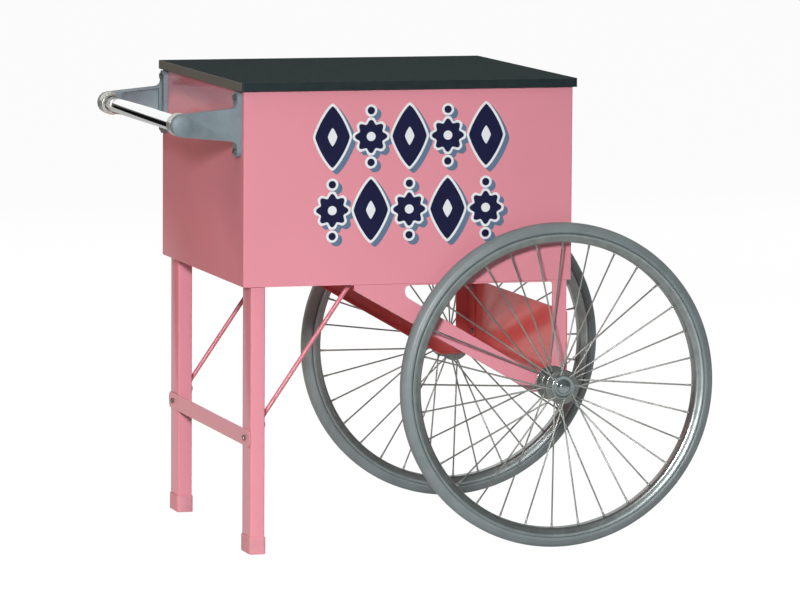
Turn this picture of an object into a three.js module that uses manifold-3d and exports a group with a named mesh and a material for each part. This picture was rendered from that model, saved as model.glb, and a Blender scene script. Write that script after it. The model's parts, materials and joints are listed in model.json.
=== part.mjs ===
// Two-wheeled vending cart: a sheet steel cabinet with a laminate counter, two legs at the handle end and
// two laced wire wheels at the other. Millimetres, +Z up, with the handle at -X, the wheels at +X, the plain
// front at -Y and the sliding doors at +Y. The origin is on the floor, under the middle of the cart.
// Right and left are the hands of a person who holds the handle and faces the wheels.
import * as THREE from "three";
import { mergeVertices } from "three/addons/utils/BufferGeometryUtils.js";
import Module from "manifold-3d";

const wasm = await Module();
wasm.setup();

// Facets round each kind of round piece
const spokeSides = 4;
const rodSides = 8;
const boltSides = 6;
const sleeveSides = 10;
const hubSides = 16;
const capSides = 16;
const barSides = 18;
const pullSides = 16;

// Fits between pieces
const seatGap = 0.3; // left between two pieces that touch
const runGap = 0.3; // round a piece that turns or slides
const boltHoleGap = 0.4; // round a bolt shank, on the radius
const past = 1; // by which a cutting shape passes the face that it opens

// Cabinet
const cabinetLength = 634;
const cabinetWidth = 620;
const cabinetHeight = 361;
const floorClearance = 498; // under the cabinet
const cabinetSheet = 1.5;
const cabinetBend = 3; // outside radius of the upright corners
const topFrame = 30; // width of the flat frame under the counter
const bottomFrame = 72; // wide enough to carry the legs and brackets
const doorwaySide = 42; // from each end of the cabinet to the doorway
const doorwaySill = 34;
const doorwayHead = 36;
const doorwayCorner = 4;

// Counter
const counterThickness = 16.5;
const counterOverhang = 7;
const counterCorner = 5;
const edgeBand = 1.5;

// Sliding doors
const doorSheet = 1.2;
const doorDepth = 8; // across the turned edge
const doorOverlap = 30; // of one door behind the other when shut
const trackSheet = 1.5;
const trackEndGap = 1.7; // from the nuts inside the cabinet's end
const trackLip = 11; // height of the fins that guide a door
const pullRadius = 21; // outer flange of the finger cup
const pullWell = 16.5; // radius of the cup
const pullDepth = 6.4;
const pullInset = 40; // from the doorway's end to the cup's centre when shut
const pullWall = 1;

// Legs
const legAcross = 27.5; // along the cabinet's length
const legDeep = 62;
const legWall = 2;
const legBend = 3;
const legEndInset = 16;
const legSideInset = 5;
const legCapWall = 1.7;
const legCapHeight = 32;
const legCapFloor = 4;

// Bracing between and behind the legs
const strapHeight = 31;
const strapThickness = 3;
const strapCentre = 215; // above the floor
const strapSideInset = 3;
const strapCorner = 12;
const rodRadius = 5;
const rodFoot = 251; // height at which the rod's axis meets the leg
const rodReach = 170; // from the leg to where its axis meets the cabinet
const tabWidth = 16;
const tabThickness = 3;
const tabLength = 26;
const tabCorner = 6;

// Handle
const handleReach = 112; // from the cabinet's end to the bar's axis
const barDrop = 62; // from the cabinet's top down to the bar's axis
const barRadius = 15;
const barWall = 2;
const socketRadius = 21;
const socketLength = 40;
const socketFloor = 4;
const socketDome = 4;
const castFlange = 8.5; // thickness of the bracket's base
const castFlangeWidth = 32;
const castFlangeHeight = 121;
const castFlangeCorner = 12;
const castSideInset = 13;
const castRise = 61; // from the bar's axis up to the top of the base
const armThickness = 14;
const armRoot = 62.5; // height of the arm where it leaves its base
const armFillet = 11;
const armRim = 5; // border round the pocket cast in the inner face
const armPocket = 8;
const castBoltInset = 10.5; // from the base's ends

// Wheels
const wheelRadius = 305;
const wheelSegments = 48;
const axleInset = 38; // from the cabinet's wheel end to the axle
const wheelOut = 38; // from the cabinet's side to the wheel's own plane
const tyreWidth = 34;
const tyreBellyRise = 6; // from the rim's lip to the tyre's widest part
const tyreShoulderDrop = 8; // from the tread to the corner of its side
const tyreShoulderIn = 2.5; // by which that corner lies inside the widest part
const treadWidth = 11;
const tyreHeight = 27.5; // from the rim's lip to the tread
const rimDepth = 9.5; // from the rim's lip to its inner face, where the spokes end
const rimWidth = 29;
const rimWell = 18; // width of the rim's inner face
const rimWall = 1.6;
const spokeCount = 32;
const spokeRadius = 1.4;
const nippleRadius = 2.3;
const nippleLength = 13;
const spokeBendRadius = 2; // where a spoke turns into its hole in the hub
const rightSpokePhase = -1.8; // degrees from +X to the first spoke at the rim, seen from outside
const leftSpokePhase = 20.5;
const spokeLean = 18.4; // degrees round the hub from a spoke's rim end to its hub end
const outerHoleTwist = 4; // degrees by which the outer flange's holes are turned ahead
const hubHoleCircle = 22; // radius of the ring of spoke holes
const hubFlangeRadius = 32.5;
const hubFlangeThickness = 2.6;
const hubFlangeSpread = 64; // between the two flanges
const hubBarrelRadius = 15;
const hubFillet = 2.5;
const hubInnerEnd = 4; // from the cabinet's side
const hubOuterEnd = 73;
const bushLength = 14;
const bushWall = 3;
const nutWell = 13; // radius of the pocket that holds the axle nut
const nutWellDepth = 7;
const capRadius = 22.5;
const capSkirt = 2; // thickness of the sleeve that grips the hub
const capWall = 1.8;
const capDomeRadius = 13;
const capDomeHeight = 7.8;

// Axle
const axleRadius = 8;
const threadRadius = 6;
const washerThickness = 1.5;
const washerPlay = 1; // round the washer in the hub's pocket
const nutHeight = 7;
const nutAcross = 18;
const threadProud = 1.5;

// Brackets that hang the axle under the cabinet
const bracketSheet = 3;
const bracketLength = 422; // from its tip to the cabinet's wheel end
const bracketTip = 10;
const armHeelAhead = 34.5; // where the arm's lower edge levels out, ahead of the axle
const hubDrop = 17; // below the axle
const strutInset = 9; // from the cabinet's wheel end to the strut's outer edge
const strutWidth = 28;
const windowStart = 324; // from the cabinet's wheel end
const windowStartDepth = 23.5;
const windowFootAhead = 27; // ahead of the axle
const windowFoot = 16; // above the axle
const windowHeel = 28; // above the axle, at the strut
const windowCorner = 10;
const bracketTopFlange = 26;
const panelFlange = 40;
const armLip = 10;

// Panel between the brackets
const panelSheet = 2;
const panelDrop = 60; // from the cabinet to the panel's top
const panelBoltAcross = 30; // from the bracket's face
const panelBoltDrop = 16; // from the panel's top
const panelBoltSpacing = 86;

// Bolts
const boltRadius = 3.4;
const boltHead = 6;
const boltHeadHeight = 4;
const boltNutHeight = 4.5;

// Places that follow from the sizes
const cabinetTop = floorClearance + cabinetHeight;
const barHeight = cabinetTop - barDrop;
const castTop = barHeight + castRise;
const rimLipRadius = wheelRadius - tyreHeight;
const rimRadius = rimLipRadius - rimDepth;
const centreShift = (handleReach + socketRadius + axleInset - wheelRadius) / 2;
const handleEnd = centreShift - cabinetLength / 2;
const wheelEnd = centreShift + cabinetLength / 2;
const sideY = cabinetWidth / 2;
const axleX = wheelEnd - axleInset;
const axleZ = wheelRadius;
const legX = handleEnd + legEndInset + legAcross / 2;
const legY = sideY - legSideInset - legDeep / 2;
const barX = handleEnd - handleReach;
const floorTop = floorClearance + 2 * cabinetSheet + seatGap;
const doorBack = sideY - cabinetSheet; // inner face of the doorway wall
const trackDepth = 3 * trackSheet + 2 * doorDepth + 4 * runGap;

// Finishes
const finish = (color, roughness, metalness) =>
  new THREE.MeshStandardMaterial({ color, roughness, metalness });
const pinkPaint = finish(0xe396a3, 0.35, 0);
const laminate = finish(0x394041, 0.5, 0);
const edging = finish(0x5d5a50, 0.4, 0.2);
const pinkPlastic = finish(0xd9929e, 0.6, 0);
const castAluminium = finish(0x8d9ba4, 0.4, 0.9);
const chrome = finish(0xd5d8da, 0.1, 1);
const zincPlate = finish(0x9a9d9c, 0.35, 1);
const greyRubber = finish(0x7f898b, 0.7, 0);
const bronze = finish(0x9c7a4b, 0.5, 0.9);

// Solids: every shape becomes a closed, outward facing body before it is joined or cut.
function solid(geometry) {
  const bare = geometry.clone();
  bare.deleteAttribute("normal");
  bare.deleteAttribute("uv");
  const merged = mergeVertices(bare, 1e-4);
  const source = merged.index.array;
  const kept = [];
  for (let i = 0; i < source.length; i += 3) {
    const [a, b, c] = [source[i], source[i + 1], source[i + 2]];
    if (a !== b && b !== c && c !== a) kept.push(a, b, c);
  }
  const build = (indices) =>
    new wasm.Manifold(
      new wasm.Mesh({
        numProp: 3,
        vertProperties: new Float32Array(merged.attributes.position.array),
        triVerts: new Uint32Array(indices),
      }),
    );
  const made = build(kept);
  if (made.volume() > 0) return made;
  const turned = [];
  for (let i = 0; i < kept.length; i += 3) turned.push(kept[i], kept[i + 2], kept[i + 1]);
  return build(turned);
}

function join(first, ...rest) {
  return rest.reduce((body, piece) => body.add(piece), first);
}

function cut(body, ...tools) {
  return tools.reduce((left, tool) => left.subtract(tool), body);
}

function mesh(name, body, material) {
  const made = body.getMesh();
  const indexed = new THREE.BufferGeometry();
  indexed.setAttribute("position", new THREE.BufferAttribute(new Float32Array(made.vertProperties), 3));
  indexed.setIndex(new THREE.BufferAttribute(new Uint32Array(made.triVerts), 1));
  const geometry = indexed.toNonIndexed();
  geometry.computeVertexNormals();
  const piece = new THREE.Mesh(geometry, material);
  piece.name = name;
  return piece;
}

// A box between two corners.
function block(x0, x1, y0, y1, z0, z1) {
  const box = new THREE.BoxGeometry(x1 - x0, y1 - y0, z1 - z0);
  return solid(box.translate((x0 + x1) / 2, (y0 + y1) / 2, (z0 + z1) / 2));
}

// An outline drawn in X and Z, given depth across the cart from y0 to y1.
function across(shape, y0, y1, curveSegments = 4) {
  const plate = new THREE.ExtrudeGeometry(shape, { depth: y1 - y0, bevelEnabled: false, curveSegments });
  return solid(plate.rotateX(Math.PI / 2).translate(0, y1, 0));
}

// An outline drawn in X and Y, raised from z0 to z1.
function upward(shape, z0, z1, curveSegments = 4) {
  const plate = new THREE.ExtrudeGeometry(shape, { depth: z1 - z0, bevelEnabled: false, curveSegments });
  return solid(plate.translate(0, 0, z0));
}

// An outline drawn in Y and Z, given depth along the cart from x0 to x1.
function lengthwise(shape, x0, x1, curveSegments = 4) {
  const plate = new THREE.ExtrudeGeometry(shape, { depth: x1 - x0, bevelEnabled: false, curveSegments });
  const turn = new THREE.Matrix4().makeBasis(
    new THREE.Vector3(0, 1, 0),
    new THREE.Vector3(0, 0, 1),
    new THREE.Vector3(1, 0, 0),
  );
  return solid(plate.applyMatrix4(turn).translate(x0, 0, 0));
}

// A rectangle between two corners with round corners.
function roundedRectangle(u0, u1, v0, v1, radius) {
  const shape = new THREE.Shape();
  shape.absarc(u1 - radius, v0 + radius, radius, -Math.PI / 2, 0, false);
  shape.absarc(u1 - radius, v1 - radius, radius, 0, Math.PI / 2, false);
  shape.absarc(u0 + radius, v1 - radius, radius, Math.PI / 2, Math.PI, false);
  shape.absarc(u0 + radius, v0 + radius, radius, Math.PI, 1.5 * Math.PI, false);
  shape.closePath();
  return shape;
}

// A polygon whose corners are rounded: each corner is [u, v, radius].
function roundedPolygon(corners) {
  const shape = new THREE.Shape();
  corners.forEach(([u, v, radius], i) => {
    const corner = new THREE.Vector2(u, v);
    const before = corners[(i + corners.length - 1) % corners.length];
    const after = corners[(i + 1) % corners.length];
    const toward = (other) => new THREE.Vector2(other[0] - u, other[1] - v).normalize();
    const start = corner.clone().addScaledVector(toward(before), radius);
    const end = corner.clone().addScaledVector(toward(after), radius);
    if (i === 0) shape.moveTo(start.x, start.y);
    else shape.lineTo(start.x, start.y);
    if (radius > 0) shape.quadraticCurveTo(u, v, end.x, end.y);
  });
  shape.closePath();
  return shape;
}

// The outline of a sheet folded along a line of points, with its thickness on the line's left.
function foldedSheet(points, thickness) {
  const line = points.map(([u, v]) => new THREE.Vector2(u, v));
  const side = line.map((point, i) => {
    const last = line.length - 1;
    const inward = i > 0 ? point.clone().sub(line[i - 1]).normalize() : null;
    const onward = i < last ? line[i + 1].clone().sub(point).normalize() : null;
    const ahead = (inward && onward ? inward.clone().add(onward) : inward || onward).normalize();
    const left = new THREE.Vector2(-ahead.y, ahead.x);
    const straight = onward || inward;
    const stretch = thickness / Math.abs(left.dot(new THREE.Vector2(-straight.y, straight.x)));
    return point.clone().addScaledVector(left, stretch);
  });
  return new THREE.Shape([...line, ...side.reverse()]);
}

// A round bar between two points, through its corners, or a hole whose flats are at the radius.
function pin(start, end, radius, sides = 12) {
  const line = end.clone().sub(start);
  const bar = new THREE.CylinderGeometry(radius, radius, line.length(), sides, 1);
  const turn = new THREE.Quaternion().setFromUnitVectors(new THREE.Vector3(0, 1, 0), line.normalize());
  const middle = start.clone().add(end).multiplyScalar(0.5);
  return solid(bar.applyQuaternion(turn).translate(middle.x, middle.y, middle.z));
}

function hole(start, end, radius, sides = 12) {
  return pin(start, end, radius / Math.cos(Math.PI / sides), sides);
}

// A profile of [radius, height] points turned about an axis: its flats or its corners are at those radii.
function turned(profile, segments, flats = true) {
  const reach = flats ? 1 / Math.cos(Math.PI / segments) : 1;
  const points = profile.map(([radius, height]) => new THREE.Vector2(radius * reach, height));
  return new THREE.LatheGeometry(points, segments, Math.PI / segments);
}

// A closed ring profile for turned().
function ring(...profile) {
  return [...profile, profile[0]];
}

// The profile of a low dome, from its edge to the axis.
function dome(radius, base, rise, steps = 3) {
  return Array.from({ length: steps + 1 }, (_, step) => {
    const angle = (step / steps) * (Math.PI / 2);
    return [radius * Math.cos(angle), base + rise * Math.sin(angle)];
  });
}

// A turned piece stood on a point and aimed along a direction.
function aimed(geometry, point, direction) {
  const turn = new THREE.Quaternion().setFromUnitVectors(new THREE.Vector3(0, 1, 0), direction);
  return solid(geometry.applyQuaternion(turn).translate(point.x, point.y, point.z));
}

// A hexagon bolt with its nut on: the head rests on the point and the shank runs along the direction.
function bolt(point, direction, grip) {
  const profile = [
    [0, -boltHeadHeight - seatGap],
    [boltHead, -boltHeadHeight - seatGap],
    [boltHead, -seatGap],
    [boltRadius, -seatGap],
    [boltRadius, grip + seatGap],
    [boltHead, grip + seatGap],
    [boltHead, grip + seatGap + boltNutHeight],
    [0, grip + seatGap + boltNutHeight],
  ];
  return aimed(turned(profile, boltSides, false), point, direction);
}

const alongX = new THREE.Vector3(1, 0, 0);
const alongZ = new THREE.Vector3(0, 0, 1);
const at = (x, y, z) => new THREE.Vector3(x, y, z);
const cart = new THREE.Group();
const sides = [
  { name: "right", side: -1, spokePhase: rightSpokePhase },
  { name: "left", side: 1, spokePhase: leftSpokePhase },
];

// Bolted joints: the same point and direction cut the holes and place the fasteners.
const handleBolts = (side) =>
  ["upper", "lower"].map((level) => {
    const z = level === "upper" ? castTop - castBoltInset : castTop - castFlangeHeight + castBoltInset;
    const y = side * (sideY - castSideInset - castFlangeWidth / 2);
    const point = at(handleEnd - castFlange - seatGap, y, z);
    return { level, point, direction: alongX, grip: castFlange + seatGap + cabinetSheet };
  });
const strapBolt = (side) => ({
  point: at(handleEnd + legEndInset - seatGap - strapThickness, side * legY, strapCentre),
  direction: alongX,
  grip: strapThickness + seatGap + legWall,
});
const legFace = handleEnd + legEndInset + legAcross;
const rodTop = legFace + rodReach;
const lowerRodBolt = (side) => ({
  point: at(legFace + seatGap + tabThickness, side * legY, rodFoot - tabLength / 2),
  direction: alongX.clone().negate(),
  grip: tabThickness + seatGap + legWall,
});
const upperRodBolt = (side) => ({
  point: at(rodTop + tabLength / 2, side * legY, floorClearance - seatGap - tabThickness),
  direction: alongZ,
  grip: tabThickness + seatGap + floorTop - floorClearance,
});

// The panel between the brackets lies on the outer face of their upright flanges.
const strutX = wheelEnd - strutInset;
const heelZ = axleZ - hubDrop;
const panelTop = floorClearance - panelDrop;
const panelBolts = (side) =>
  ["upper", "lower"].map((level) => {
    const z = panelTop - panelBoltDrop - (level === "upper" ? 0 : panelBoltSpacing);
    const point = at(strutX - bracketSheet, side * (sideY - bracketSheet - panelBoltAcross), z);
    return { level, point, direction: alongX, grip: bracketSheet + seatGap + panelSheet };
  });

function bolted({ point, direction, grip }) {
  return bolt(point, direction, grip);
}

function drill({ point, direction, grip }) {
  const start = point.clone().addScaledVector(direction, -past);
  const end = point.clone().addScaledVector(direction, grip + 2 * past);
  return hole(start, end, boltRadius + boltHoleGap, boltSides);
}

// Cabinet: sheet walls folded round at the corners, with a doorway, and a flat frame in the top and bottom.
function cabinetPlan(inset) {
  const radius = Math.max(cabinetBend - inset, cabinetSheet);
  return roundedRectangle(handleEnd + inset, wheelEnd - inset, -sideY + inset, sideY - inset, radius);
}

function cabinetShell() {
  const doorway = roundedRectangle(
    handleEnd + doorwaySide,
    wheelEnd - doorwaySide,
    floorClearance + doorwaySill,
    cabinetTop - doorwayHead,
    doorwayCorner,
  );
  return cut(
    upward(cabinetPlan(0), floorClearance, cabinetTop, 3),
    upward(cabinetPlan(cabinetSheet), floorClearance - past, cabinetTop + past, 3),
    across(doorway, sideY - 2 * cabinetSheet, sideY + past, 3),
    ...sides.flatMap(({ side }) => handleBolts(side).map(drill)),
  );
}

function cabinetFrame(width, z0, z1) {
  const plate = upward(cabinetPlan(cabinetSheet + seatGap), z0, z1, 3);
  const [x0, x1] = [handleEnd + width, wheelEnd - width];
  const mouth = block(x0, x1, -sideY + width, sideY - width, z0 - past, z1 + past);
  return cut(plate, mouth);
}

function cabinetFloor() {
  const sheet = upward(cabinetPlan(cabinetSheet + seatGap), floorTop - cabinetSheet, floorTop, 3);
  return cut(sheet, ...rodHoles);
}

const rodHoles = sides.map(({ side }) => drill(upperRodBolt(side)));
const bottomRing = cabinetFrame(bottomFrame, floorClearance, floorClearance + cabinetSheet);
const topRing = cabinetFrame(topFrame, cabinetTop - cabinetSheet, cabinetTop);
cart.add(mesh("cabinet_shell", cabinetShell(), pinkPaint));
cart.add(mesh("cabinet_bottom_frame", cut(bottomRing, ...rodHoles), pinkPaint));
cart.add(mesh("cabinet_top_frame", topRing, pinkPaint));
cart.add(mesh("cabinet_floor", cabinetFloor(), pinkPaint));

// Counter: a board with an edging strip wrapped round it.
function counterOutline(inset) {
  const reach = counterOverhang - inset;
  const radius = counterCorner - inset;
  return roundedRectangle(handleEnd - reach, wheelEnd + reach, -sideY - reach, sideY + reach, radius);
}

const counterBase = cabinetTop + seatGap;
const counterTop = counterBase + counterThickness;
const board = upward(counterOutline(edgeBand + seatGap), counterBase, counterTop, 3);
const strip = cut(
  upward(counterOutline(0), counterBase, counterTop, 3),
  upward(counterOutline(edgeBand), counterBase - past, counterTop + past, 3),
);
cart.add(mesh("counter_top", board, laminate));
cart.add(mesh("counter_edge_band", strip, edging));

// Sliding doors: two shallow pans, one behind the other, in the grooves of two tracks.
const boltReach = cabinetSheet + seatGap + boltNutHeight; // of the handle's nuts into the cabinet
const trackStart = handleEnd + boltReach + trackEndGap;
const trackEnd = wheelEnd - boltReach - trackEndGap;
const trackFront = doorBack - seatGap;
const trackPitch = trackSheet + doorDepth + 2 * runGap;
const lowerTrackBase = floorTop + seatGap;
const upperTrackTop = cabinetTop - cabinetSheet - seatGap;
const doorBottom = lowerTrackBase + trackSheet + runGap;
const doorTop = upperTrackTop - trackSheet - runGap;
const doorWidth = (trackEnd - trackStart + doorOverlap) / 2 - runGap;

function doorTrack(low, high, grooveLow, grooveHigh) {
  const grooves = [0, 1].map((lane) => {
    const front = trackFront - trackSheet - lane * trackPitch;
    const back = front - doorDepth - 2 * runGap;
    return block(trackStart - past, trackEnd + past, back, front, grooveLow, grooveHigh);
  });
  return cut(block(trackStart, trackEnd, trackFront - trackDepth, trackFront, low, high), ...grooves);
}

function slidingDoor(lane, start, pullX) {
  const front = trackFront - trackSheet - runGap - lane * trackPitch;
  const end = start + doorWidth;
  const back = front - doorDepth;
  const pullZ = (doorBottom + doorTop) / 2;
  const inside = block(
    start + doorSheet,
    end - doorSheet,
    back - past,
    front - doorSheet,
    doorBottom + doorSheet,
    doorTop - doorSheet,
  );
  const face = at(pullX, front + past, pullZ);
  const pullHole = hole(at(pullX, back, pullZ), face, pullWell + seatGap, pullSides);
  const cup = turned(
    [
      [0, -pullDepth],
      [pullWell, -pullDepth],
      [pullWell, seatGap],
      [pullRadius, seatGap],
      [pullRadius - pullWall / 2, seatGap + pullWall / 2],
      [pullWell - pullWall, seatGap + pullWall / 2],
      [pullWell - pullWall, pullWall - pullDepth],
      [0, pullWall - pullDepth],
    ],
    pullSides,
    false,
  );
  return {
    pan: cut(block(start, end, back, front, doorBottom, doorTop), inside, pullHole),
    pull: solid(cup.translate(pullX, front, pullZ)),
  };
}

const handleDoor = slidingDoor(0, trackStart + runGap, handleEnd + doorwaySide + pullInset);
const wheelDoor = slidingDoor(1, trackEnd - runGap - doorWidth, wheelEnd - doorwaySide - pullInset);
const lowerTrack = doorTrack(
  lowerTrackBase,
  lowerTrackBase + trackLip,
  lowerTrackBase + trackSheet,
  lowerTrackBase + trackLip + past,
);
const upperTrack = doorTrack(
  upperTrackTop - trackLip,
  upperTrackTop,
  upperTrackTop - trackLip - past,
  upperTrackTop - trackSheet,
);
cart.add(mesh("lower_door_track", lowerTrack, zincPlate));
cart.add(mesh("upper_door_track", upperTrack, zincPlate));
cart.add(mesh("handle_end_door", handleDoor.pan, pinkPaint));
cart.add(mesh("handle_end_door_pull", handleDoor.pull, zincPlate));
cart.add(mesh("wheel_end_door", wheelDoor.pan, pinkPaint));
cart.add(mesh("wheel_end_door_pull", wheelDoor.pull, zincPlate));

// Legs: rectangular tube with a closed head, open below, standing in moulded caps.
function legOutline(side, grown) {
  const halfX = legAcross / 2 + grown;
  const halfY = legDeep / 2 + grown;
  const y = side * legY;
  return roundedRectangle(legX - halfX, legX + halfX, y - halfY, y + halfY, legBend + grown);
}

function leg(side) {
  const top = floorClearance - seatGap;
  return cut(
    upward(legOutline(side, 0), legCapFloor + seatGap, top, 2),
    upward(legOutline(side, -legWall), 0, top - legWall, 2),
    drill(strapBolt(side)),
    drill(lowerRodBolt(side)),
  );
}

function legCap(side) {
  return cut(
    upward(legOutline(side, seatGap + legCapWall), 0, legCapHeight, 2),
    upward(legOutline(side, seatGap), legCapFloor, legCapHeight + past, 2),
  );
}

// The flat strap that ties the two legs together.
function legStrap() {
  const reach = sideY - strapSideInset;
  const outline = roundedRectangle(
    -reach,
    reach,
    strapCentre - strapHeight / 2,
    strapCentre + strapHeight / 2,
    strapCorner,
  );
  const x = handleEnd + legEndInset - seatGap;
  const strap = lengthwise(outline, x - strapThickness, x, 3);
  return cut(strap, ...sides.map(({ side }) => drill(strapBolt(side))));
}

// A round rod from the leg to the cabinet, forged flat at both ends.
function diagonalBrace(side) {
  const y = side * legY;
  const foot = at(legFace, y, rodFoot);
  const head = at(rodTop, y, floorClearance);
  const over = head.clone().sub(foot).normalize().multiplyScalar(2 * rodRadius);
  const face = legFace + seatGap;
  const under = floorClearance - seatGap;
  const rod = pin(foot.clone().sub(over), head.clone().add(over), rodRadius, rodSides);
  const lowerTab = roundedRectangle(
    y - tabWidth / 2,
    y + tabWidth / 2,
    rodFoot - tabLength,
    rodFoot + rodRadius,
    tabCorner,
  );
  const upperTab = roundedRectangle(
    rodTop - rodRadius,
    rodTop + tabLength,
    y - tabWidth / 2,
    y + tabWidth / 2,
    tabCorner,
  );
  return cut(
    join(
      rod.intersect(block(face, rodTop + tabLength, y - tabWidth, y + tabWidth, 0, under)),
      lengthwise(lowerTab, face, face + tabThickness, 2),
      upward(upperTab, under - tabThickness, under, 2),
    ),
    drill(lowerRodBolt(side)),
    drill(upperRodBolt(side)),
  );
}

cart.add(mesh("leg_cross_brace", legStrap(), pinkPaint));
for (const { name, side } of sides) {
  cart.add(mesh(`${name}_leg`, leg(side), pinkPaint));
  cart.add(mesh(`${name}_leg_cap`, legCap(side), pinkPlastic));
  cart.add(mesh(`${name}_cross_brace_bolt`, bolted(strapBolt(side)), zincPlate));
  cart.add(mesh(`${name}_diagonal_brace`, diagonalBrace(side), pinkPaint));
  cart.add(mesh(`${name}_diagonal_lower_bolt`, bolted(lowerRodBolt(side)), zincPlate));
  cart.add(mesh(`${name}_diagonal_upper_bolt`, bolted(upperRodBolt(side)), zincPlate));
}

// Handle bracket: a cast arm on a round-ended base, with a socket for the bar at its tip.
const castFace = handleEnd - seatGap - castFlange;

// Where a line from a point touches a circle, on the upper or lower side.
function touch(point, centre, radius, upper) {
  const reach = centre.clone().sub(point);
  const swing = Math.asin(radius / reach.length());
  const angle = Math.atan2(reach.y, reach.x) + (upper ? -swing : swing);
  const length = Math.sqrt(reach.lengthSq() - radius * radius);
  return point.clone().add(new THREE.Vector2(Math.cos(angle), Math.sin(angle)).multiplyScalar(length));
}

// The arm seen from the side, drawn in by an inset; with no inset it has fillets where it meets its base.
function armShape(inset) {
  const tip = new THREE.Vector2(barX, barHeight);
  const rootX = castFace - inset;
  const radius = socketRadius;
  const upper = new THREE.Vector2(rootX, barHeight + armRoot / 2 - inset);
  const lower = new THREE.Vector2(rootX, barHeight - armRoot / 2 + inset);
  const reach = inset > 0 ? radius - inset : radius;
  const upperTouch = touch(upper, tip, reach, true);
  const lowerTouch = touch(lower, tip, reach, false);
  const along = (from, to) => from.clone().addScaledVector(to.clone().sub(from).normalize(), armFillet);
  const shape = new THREE.Shape();
  if (inset > 0) {
    shape.moveTo(upper.x, upper.y);
  } else {
    const start = along(upper, upperTouch);
    const end = along(lower, lowerTouch);
    shape.moveTo(end.x, end.y);
    shape.quadraticCurveTo(lower.x, lower.y, lower.x, lower.y - armFillet);
    shape.lineTo(rootX + past, lower.y - armFillet);
    shape.lineTo(rootX + past, upper.y + armFillet);
    shape.lineTo(rootX, upper.y + armFillet);
    shape.quadraticCurveTo(upper.x, upper.y, start.x, start.y);
  }
  const angle = (point) => Math.atan2(point.y - tip.y, point.x - tip.x);
  shape.lineTo(upperTouch.x, upperTouch.y);
  shape.absarc(tip.x, tip.y, reach, angle(upperTouch), angle(lowerTouch), false);
  if (inset > 0) shape.lineTo(lower.x, lower.y);
  shape.closePath();
  return shape;
}

function handleBracket(side) {
  const outer = sideY - castSideInset;
  const span = (from, to) => [side * from, side * to].sort((a, b) => a - b);
  const [y0, y1] = span(outer - castFlangeWidth, outer);
  const base = lengthwise(
    roundedRectangle(y0, y1, castTop - castFlangeHeight, castTop, castFlangeCorner),
    castFace,
    castFace + castFlange,
    3,
  );
  const arm = across(armShape(0), ...span(outer - armThickness, outer), 4);
  const pocket = cut(
    across(armShape(armRim), ...span(outer - armThickness - past, outer - armThickness + armPocket), 3),
    block(barX - 2 * socketRadius, barX + socketRadius + armRim, -sideY, sideY, 0, cabinetTop),
  );
  const socket = aimed(
    turned(
      [
        [0, outer - socketLength],
        [socketRadius, outer - socketLength],
        ...dome(socketRadius, outer, socketDome),
      ],
      barSides,
      false,
    ),
    at(barX, 0, barHeight),
    at(0, side, 0),
  );
  const bore = hole(
    at(barX, side * (outer - socketLength - past), barHeight),
    at(barX, side * (outer - socketFloor), barHeight),
    barRadius + seatGap,
    barSides,
  );
  return cut(join(base, arm, socket), pocket, bore, ...handleBolts(side).map(drill));
}

function handleBar() {
  const reach = sideY - castSideInset - socketFloor - seatGap;
  const bore = barRadius - barWall;
  const wall = ring([barRadius, -reach], [barRadius, reach], [bore, reach], [bore, -reach]);
  return aimed(turned(wall, barSides, false), at(barX, 0, barHeight), at(0, 1, 0));
}

cart.add(mesh("handle_bar", handleBar(), chrome));
for (const { name, side } of sides) {
  cart.add(mesh(`${name}_handle_bracket`, handleBracket(side), castAluminium));
  for (const fixing of handleBolts(side)) {
    cart.add(mesh(`${name}_handle_${fixing.level}_bolt`, bolted(fixing), zincPlate));
  }
}

// Wheel bracket: a folded plate with a sloping arm, an upright strut and the open triangle between them.
function wheelBracket(side) {
  const tipX = wheelEnd - bracketLength;
  const top = floorClearance - seatGap;
  const heelX = axleX - armHeelAhead;
  const span = (from, to) => [side * (sideY - from), side * (sideY - to)].sort((a, b) => a - b);
  const lowerEdge = [
    [tipX, top - bracketTip],
    [heelX, heelZ],
    [strutX, heelZ],
  ];
  const outline = new THREE.Shape(
    [[tipX, top], ...lowerEdge, [strutX, top]].map(([x, z]) => new THREE.Vector2(x, z)),
  );
  const windowTop = top - bracketSheet;
  const windowX = wheelEnd - windowStart;
  const window = roundedPolygon([
    [windowX, windowTop, windowCorner],
    [windowX, floorClearance - windowStartDepth, windowCorner],
    [axleX - windowFootAhead, axleZ + windowFoot, windowCorner],
    [strutX - strutWidth, axleZ + windowHeel, windowCorner],
    [strutX - strutWidth, windowTop, windowCorner / 2],
  ]);
  const plate = across(outline, ...span(0, bracketSheet), 3);
  const lip = across(foldedSheet(lowerEdge, bracketSheet), ...span(0, bracketSheet + armLip), 3);
  const topFace = block(tipX, strutX, ...span(0, bracketTopFlange), top - bracketSheet, top);
  const flangeSpan = span(0, bracketSheet + panelFlange);
  const panelFace = block(strutX - bracketSheet, strutX, ...flangeSpan, heelZ, top);
  const axleHole = hole(
    at(axleX, side * (sideY + past), axleZ),
    at(axleX, side * (sideY - bracketSheet - past), axleZ),
    axleRadius + seatGap,
    sleeveSides,
  );
  return cut(
    join(cut(plate, across(window, ...span(-past, bracketSheet + past), 3)), lip, topFace, panelFace),
    axleHole,
    ...panelBolts(side).map(drill),
  );
}

function axlePanel() {
  const x = strutX + seatGap;
  const sheet = block(x, x + panelSheet, -sideY, sideY, heelZ, panelTop);
  return cut(sheet, ...sides.flatMap(({ side }) => panelBolts(side).map(drill)));
}

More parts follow.
